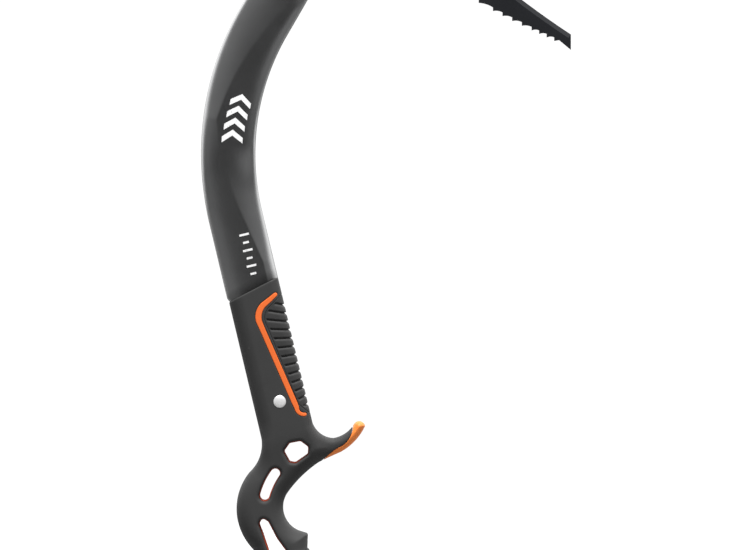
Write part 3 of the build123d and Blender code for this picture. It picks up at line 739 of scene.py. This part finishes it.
def printed_marks():
    """A stack of chevrons at the bend and a row of dashes above the grip, on both sides."""
    bars = []
    for number in range(CHEVRONS):
        low = CHEVRON_LOW + CHEVRON_PITCH * number
        middle = CHEVRON_MIDDLE + CHEVRON_LEAN * low
        back, front = middle - CHEVRON_REACH, middle + CHEVRON_REACH
        bars.append((((low, back), (low + CHEVRON_RISE, middle), (low, front)), CHEVRON_BAR))
    for number in range(DASHES):
        place = DASH_TOP - DASH_PITCH * number
        reach = DASH_REACHES[number % 2]
        bars.append((((place, DASH_MIDDLE - reach), (place, DASH_MIDDLE + reach)), DASH_BAR))
    for side, word in ((-1, "right"), (1, "left")):
        printed_bars("shaft_print_" + word, bars, side)


# Moulded handle: one rounded body, shared out between the skin, the ribbed pads and the hook's tip.


def palm_corner(down, forward):
    """Grip-frame coordinates of a place on the lower grip."""
    return tuple(in_axes(*palm_at(down, forward), GRIP_START, GRIP_DOWN, GRIP_FORWARD))


def handle_outline():
    """The handle's outline, run on past both ends so that those can be cut square."""
    return trace(
        grip_at,
        (20.0, GRIP_BACK),
        (20.0, GRIP_FRONT),
        (126.0, GRIP_FRONT),
        ((133.2, 19.5), (137.1, 25.8)),
        ((136.3, 32.4), (132.0, 39.3)),
        ((131.4, 43.4), (134.6, 45.3)),
        ((141.2, 38.2), (145.9, 28.1)),
        ((147.4, 20.4), (148.8, 14.2)),
        ((154.6, 2.4), (161.5, -7.0)),
        ((172.8, -12.0), (185.3, -4.4)),
        palm_corner(-0.4, 17.6),
        (palm_corner(0.9, 18.2), palm_corner(2.4, 17.4)),
        palm_corner(7.5, PALM_FRONT),
        (palm_corner(40.0, 14.8), palm_corner(SKIN_END, PALM_HALF)),
        palm_corner(90.0, PALM_HALF),
        palm_corner(90.0, -PALM_HALF),
        palm_corner(SKIN_END, -PALM_HALF),
        (palm_corner(35.0, -15.0), palm_corner(-8.3, -13.3)),
        ((168.0, -38.8), (145.0, -25.8)),
        ((138.4, -18.5), (128.0, GRIP_BACK)),
    )


def hook_window():
    """Seven-sided window behind the hook."""
    front = [(134.3, 7.0), (138.5, 10.6), (142.4, 9.4)]
    back = [(145.6, 1.3), (144.3, -1.7), (137.8, -3.5), (134.0, 0.8)]
    return rounded([grip_at(*corner) for corner in front + back], 1.8)


def palm_window():
    """Long window down the lower grip."""
    front = [(-20.9, 1.0), (-17.2, 2.8), (-6.0, 1.9), (3.0, 2.6), (24.0, 1.8), (28.0, -2.0)]
    back = [(24.0, -6.0), (0.0, -6.4), (-13.0, -3.3), (-18.8, -2.2)]
    return rounded([palm_at(*corner) for corner in front + back], 1.6)


def windows_distance(x, z):
    """Distance to the nearest of the three windows, negative inside one."""
    throat = trace(grip_at, (149.0, -11.4), ((154.3, -16.5), (160.1, -20.4)))
    best = line_distance(throat, x, z) - 2.7
    for outline in (hook_window(), palm_window()):
        best = np.minimum(best, shape_distance(outline, x, z))
    return best


def handle_body(x, y, z):
    """Distance-like field of the whole moulded handle, windows and ends cut.

    The shares of the hook, the back of the grip, the throat and the palm, each from 0 to 1, set how
    thick the body is and how round its corners are.
    """
    down, forward = in_axes(x, z, GRIP_START, GRIP_DOWN, GRIP_FORWARD)
    palm = in_axes(x, z, PALM_START, PALM_DOWN, PALM_FORWARD)[0]
    edge = shape_distance(handle_outline(), x, z)
    hook = step_up(12.0, 26.0, forward) * step_up(118.0, 130.0, down) * (1 - step_up(150.0, 158.0, down))
    spine = (1 - step_up(-9.0, 6.0, forward)) * (1 - step_up(118.0, 138.0, down))
    throat = step_up(128.0, 150.0, down) * (1 - step_up(-6.0, 24.0, palm))
    swell = step_up(8.0, 34.0, palm) * (1 - step_up(44.0, 74.0, palm))
    half = GRIP_HALF - HOOK_THINNER * hook - THROAT_THINNER * throat + PALM_THICKER * swell - SKIN_IN
    corner = GRIP_CORNER + SPINE_ROUNDER * spine + THROAT_ROUNDER * throat + PALM_ROUNDER * swell
    corner = corner + (half - HOOK_FLAT - corner) * hook
    edge = edge + (soft_max(edge, -HOOK_ROUND, 1.6) - edge) * hook
    side = edge + corner
    face = np.abs(y) - half + corner
    outside = np.hypot(np.maximum(side, 0), np.maximum(face, 0))
    body = np.minimum(np.maximum(side, face), 0) + outside - corner
    above = GRIP_TOP - down - (forward - GRIP_BACK) * GRIP_TOP_SLOPE
    body = soft_max(body, above / math.hypot(1.0, GRIP_TOP_SLOPE), 0.7)
    body = soft_max(body, palm - SKIN_END, 1.6)
    return soft_max(body, WINDOW_RIM - windows_distance(x, z), 2.0)


def hook_tip_region(x, z):
    """Distance to the orange part of the hook."""
    outline = trace(
        grip_at,
        (133.0, 38.4),
        ((138.9, 35.2), (142.4, 30.2)),
        ((144.2, 24.2), (148.3, 16.5)),
        (154.0, 16.5),
        (152.0, 48.0),
        (128.0, 48.0),
        (128.0, 41.0),
    )
    return shape_distance(outline, x, z)


def node_box(name, margin):
    """A CAD node's corners in millimetres, with a margin."""
    low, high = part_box(name)
    return np.array(low) / MM - margin, np.array(high) / MM + margin


def upper_rib_region(x, z):
    """Distance to the ribbed front of the upper grip, run on past the handle's front edge."""
    outline = trace(
        grip_at,
        (45.5, 22.0),
        (55.5, 6.6),
        ((60.0, 3.7), (66.0, 4.0)),
        (113.0, 11.0),
        (127.6, 22.0),
    )
    return shape_distance(outline, x, z)


def lower_rib_region(x, z):
    """Distance to the ribbed front of the lower grip."""
    outline = trace(palm_at, (8.0, 8.8), (8.0, 22.0), (68.0, 22.0), (68.0, 8.8))
    return shape_distance(outline, x, z)


def groove_depth(across, along, front, first, count, fan):
    """How deep the fanned grooves are at places across and along a grip."""
    depth = np.zeros(across.shape)
    for number in range(count):
        slant = math.radians(fan[0] + (fan[1] - fan[0]) * number / (count - 1))
        line = first + number * RIB_PITCH + (across - front) * math.tan(slant)
        gap = (along - line) * math.cos(slant)
        reach = np.where(gap > 0, 0.95, 0.3)
        depth = np.maximum(depth, np.exp(-((gap / reach) ** 2)))
    return RIB_DEPTH * depth


def stripe_distance(x, z):
    """Distance to the bent stripe, which tapers towards both ends."""
    line = trace(
        grip_at,
        (48.6, 12.6),
        (52.9, 4.4),
        ((56.2, 1.3), (61.8, -0.1)),
        (115.0, 9.5),
        ((118.4, 10.4), (119.8, 13.2)),
    )
    down = in_axes(x, z, GRIP_START, GRIP_DOWN, GRIP_FORWARD)[0]
    half = 1.55 + 0.25 * np.exp(-(((down - 58.0) / 5.0) ** 2))
    half = half - 0.55 * (1 - step_up(47.0, 53.0, down)) - 0.6 * step_up(111.0, 121.0, down)
    return line_distance(line, x, z) - half


def skin(x, y, z):
    """Soft skin: the body without the hook's tip, the ribbed pads and the stripes' recesses."""
    body = handle_body(x, y, z)
    field = soft_max(body, JOIN - hook_tip_region(x, z), 0.2)
    for region in (upper_rib_region, lower_rib_region):
        field = np.maximum(field, -np.maximum(region(x, z) - PAD_GAP, -(body + RIB_SHELL)))
    recess = np.maximum(stripe_distance(x, z) - STRIPE_GAP, -(body + STRIPE_DEPTH))
    return np.maximum(field, -recess)


def tip(x, y, z):
    """Orange end and underside of the hook."""
    return soft_max(handle_body(x, y, z), hook_tip_region(x, z) + JOIN, 0.2)


def ribbed(x, y, z, region, grooves):
    """Shell of the body over a region, with grooves that start a little inside its edge."""
    body = handle_body(x, y, z)
    outer = body + grooves * step_up(0.5, 1.5, -region)
    return np.maximum(soft_max(outer, region + PAD_GAP, 0.04), -(body + RIB_SHELL - 0.1))


def upper_ribs(x, y, z):
    """Ribbed pad of the upper grip."""
    down, forward = in_axes(x, z, GRIP_START, GRIP_DOWN, GRIP_FORWARD)
    grooves = groove_depth(forward, down, GRIP_FRONT, RIB_FIRST, RIB_COUNT, RIB_FAN)
    return ribbed(x, y, z, upper_rib_region(x, z), grooves)


def lower_ribs(x, y, z):
    """Ribbed pad of the lower grip."""
    down, forward = in_axes(x, z, PALM_START, PALM_DOWN, PALM_FORWARD)
    grooves = groove_depth(forward, down, PALM_FRONT, PALM_RIB_FIRST, PALM_RIB_COUNT, PALM_RIB_FAN)
    return ribbed(x, y, z, lower_rib_region(x, z), grooves)


def stripe(side):
    """Field of the inlaid stripe on one side of the grip, 1 or -1."""

    def field(x, y, z):
        body = handle_body(x, y, z)
        top = soft_max(body - STRIPE_PROUD, stripe_distance(x, z), 0.35)
        return np.maximum(np.maximum(top, -(body + STRIPE_DEPTH)), STRIPE_INNER - side * y)

    return field


def handle_pieces():
    """Replaces the handle's moulded CAD nodes with rounded ones."""
    pieces = (
        ("handle_skin", skin, "handle_overmould", "black_overmould", SKIN, VOXEL),
        ("hook_tip_shell", tip, "hook_tip", "orange_soft", PAINTED_LIGHT_TIP_ORANGE, 0.3),
        ("upper_ribs", upper_ribs, "upper_rib_pad", "black_overmould", RIBS, 0.28),
        ("lower_ribs", lower_ribs, "lower_rib_pad", "black_overmould", RIBS, 0.4),
        ("stripe_inlay_left", stripe(1), "stripe_left", "orange_soft", ORANGE, 0.25),
        ("stripe_inlay_right", stripe(-1), "stripe_right", "orange_soft", ORANGE, 0.25),
    )
    for name, field, node, slot, material, step in pieces:
        low, high = node_box(node, 1.5)
        piece = solid_from_field(name, field, low, high, step, "handle", material)
        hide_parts(node)


def grip_rivet():
    """Cross rivet with a low dome on each side."""
    centre = grip_at(*RIVET)
    seat = GRIP_HALF - RIVET_RECESS
    profile = [(RIVET_HEAD * math.sin(a), seat + RIVET_RIM + RIVET_DOME * math.cos(a)) for a in DOME_ANGLES]
    profile += [(RIVET_HEAD, seat), (RIVET_SHANK, seat)]
    profile += [(radius, -height) for radius, height in profile[::-1]]
    count = RIVET_SPOTS
    points = []
    for radius, height in profile:
        for spot in range(count):
            angle = math.tau * spot / count
            x = centre[0] + radius * math.cos(angle)
            points.append((x, height, centre[1] + radius * math.sin(angle)))
    faces = [tuple(range(count))]
    for ring in range(len(profile) - 1):
        for spot in range(count):
            after = (spot + 1) % count
            here = (ring * count + after, ring * count + spot)
            faces.append((*here, (ring + 1) * count + spot, (ring + 1) * count + after))
    last = (len(profile) - 1) * count
    faces.append(tuple(last + spot for spot in range(count))[::-1])
    piece = make_mesh("rivet_domes", points, faces, "handle", POLISHED)
    piece.data.set_sharp_from_angle(angle=math.radians(40))
    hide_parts("grip_rivet")


# CAD nodes that keep their shape.


def dress(names, material):
    """Gives CAD nodes one material."""
    for name in names:
        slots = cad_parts[name].data.materials
        slots.clear()
        slots.append(material)


def ease(names, width):
    """Breaks the sharp edges of CAD nodes."""
    for name in names:
        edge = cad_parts[name].modifiers.new("eased", "BEVEL")
        edge.width = width * MM
        edge.segments = 2
        edge.angle_limit = math.radians(35)


def dress_cad():
    """Materials for every CAD node, those that other pieces replace among them."""
    dress(["pick", "pick_weight_left", "pick_weight_right", "spike"], PICK)
    dress(["head_body", "hammer"], HEAD)
    dress(["pick_bolt_front", "pick_bolt_rear", "pick_nut_front", "pick_nut_rear", "pick_washers"], PLATED)
    dress(["weight_screw", "weight_nut", "head_pins", "spike_pins"], PLATED)
    dress(["griprest_screw", "griprest_washer", "griprest_nut"], PLATED)
    dress(["handle_frame", "shaft_end_plug"], ALLOY)
    dress(["handle_core"], CORE)
    dress(["stripe_left", "stripe_right"], ORANGE)
    dress(["upper_rib_pad", "lower_rib_pad", "griprest_pad"], RIBS)
    dress(["griprest", "handle_overmould", "hook_tip", "shaft_tube"], SKIN)


# Floor, light and camera.

VIEW_CENTRE = (-20.5, -208.7)
VIEW_WIDTH = 423.1
VIEW_DISTANCE = 3000.0
FLOOR_HALF = 2.4
FLOOR_GAP = 0.0005


def stage_floor():
    """Pale floor just under the object; it reflects little, so that the underside stays dark."""
    mesh = bpy.data.meshes.new("floor")
    level = cad_bounds[0][2] - FLOOR_GAP
    corners = ((-1, -1), (1, -1), (1, 1), (-1, 1))
    points = [(x * FLOOR_HALF, y * FLOOR_HALF, level) for x, y in corners]
    mesh.from_pydata(points, [], [(0, 1, 2, 3)])
    r = Recipe("floor_pale")
    pale = r.mix(r.noise(3.0, 3.0), (0.8, 0.8, 0.8), (0.84, 0.84, 0.84))
    seen = r.node("LightPath").outputs["Is Camera Ray"]
    r.colour(r.mix(seen, (0.2, 0.2, 0.2), pale))
    r.set(Roughness=0.8)
    mesh.materials.append(r.material)
    floor = bpy.data.objects.new("floor", mesh)
    bpy.context.scene.collection.objects.link(floor)


def area_light(name, place, target, side, power):
    """Square lamp that faces a target."""
    lamp = bpy.data.lights.new(name, "AREA")
    lamp.shape = "RECTANGLE"
    lamp.size = side
    lamp.size_y = side
    lamp.energy = power
    made = bpy.data.objects.new(name, lamp)
    made.location = place
    made.rotation_euler = (Vector(target) - Vector(place)).to_track_quat("-Z", "Y").to_euler()
    bpy.context.scene.collection.objects.link(made)


def studio_world():
    """White backdrop for the camera; round the object, soft light that grows to the sides, back and top."""
    world = bpy.data.worlds.new("studio")
    world.use_nodes = True
    nodes = world.node_tree.nodes
    links = world.node_tree.links
    out = nodes["Background"]
    out.inputs["Color"].default_value = (1.0, 1.0, 1.0, 1.0)
    place = nodes.new("ShaderNodeTexCoord")
    parts = nodes.new("ShaderNodeSeparateXYZ")
    links.new(place.outputs["Generated"], parts.inputs[0])

    def ramp(value, start, end, low, high):
        """Smooth rise from low at start to high at end."""
        made = nodes.new("ShaderNodeMapRange")
        made.interpolation_type = "SMOOTHSTEP"
        links.new(value, made.inputs[0])
        for number, setting in enumerate((start, end, low, high)):
            made.inputs[number + 1].default_value = setting
        return made.outputs[0]

    def combine(operation, *values):
        """One step of arithmetic on sockets."""
        made = nodes.new("ShaderNodeMath")
        made.operation = operation
        for number, value in enumerate(values):
            links.new(value, made.inputs[number])
        return made.outputs[0]

    # X, Y and Z are the direction looked in: to the right, away from the front, and up.
    sides = ramp(combine("ABSOLUTE", parts.outputs["X"]), 0.06, 0.95, 0.05, 0.32)
    rise = ramp(parts.outputs["Y"], 0.0, 0.6, 0.0, 1.3)
    fall = ramp(parts.outputs["Y"], 0.75, 1.0, 1.0, 0.1)
    height = ramp(parts.outputs["Z"], -0.3, 0.55, 0.7, 1.9)
    rims = combine("MULTIPLY", rise, fall)
    glow = combine("MULTIPLY", combine("ADD", sides, rims), height)
    path = nodes.new("ShaderNodeLightPath")
    share = nodes.new("ShaderNodeMix")
    links.new(path.outputs["Is Camera Ray"], share.inputs[0])
    links.new(glow, share.inputs[2])
    share.inputs[3].default_value = 1.05
    links.new(share.outputs[0], out.inputs["Strength"])
    bpy.context.scene.world = world


def lights():
    """Soft key from above and in front, and the studio round it."""
    centre = (VIEW_CENTRE[0] * MM, 0.0, VIEW_CENTRE[1] * MM)
    studio_world()
    area_light("key", (0.1, -0.95, 2.1), centre, 0.9, 130.0)


def camera():
    """Long lens square on to the right side, framed close so that both ends run out of the picture."""
    lens = bpy.data.cameras.new("camera")
    lens.sensor_width = 36.0
    lens.lens = 36.0 * VIEW_DISTANCE / VIEW_WIDTH
    lens.clip_end = 20.0
    made = bpy.data.objects.new("camera", lens)
    made.location = (VIEW_CENTRE[0] * MM, -VIEW_DISTANCE * MM, VIEW_CENTRE[1] * MM)
    made.rotation_euler = (math.pi / 2, 0.0, 0.0)
    bpy.context.scene.collection.objects.link(made)
    bpy.context.scene.camera = made
    bpy.context.scene.view_settings.view_transform = "Standard"


camera()
lights()
stage_floor()
dress_cad()
ease(["head_body", "hammer", "griprest", "griprest_pad", "pick_weight_left", "pick_weight_right"], 0.5)
ease(["pick", "spike", "pick_nut_front", "pick_nut_rear", "weight_nut", "pick_washers"], 0.15)
shaft_tube()
printed_marks()
handle_pieces()
grip_rivet()
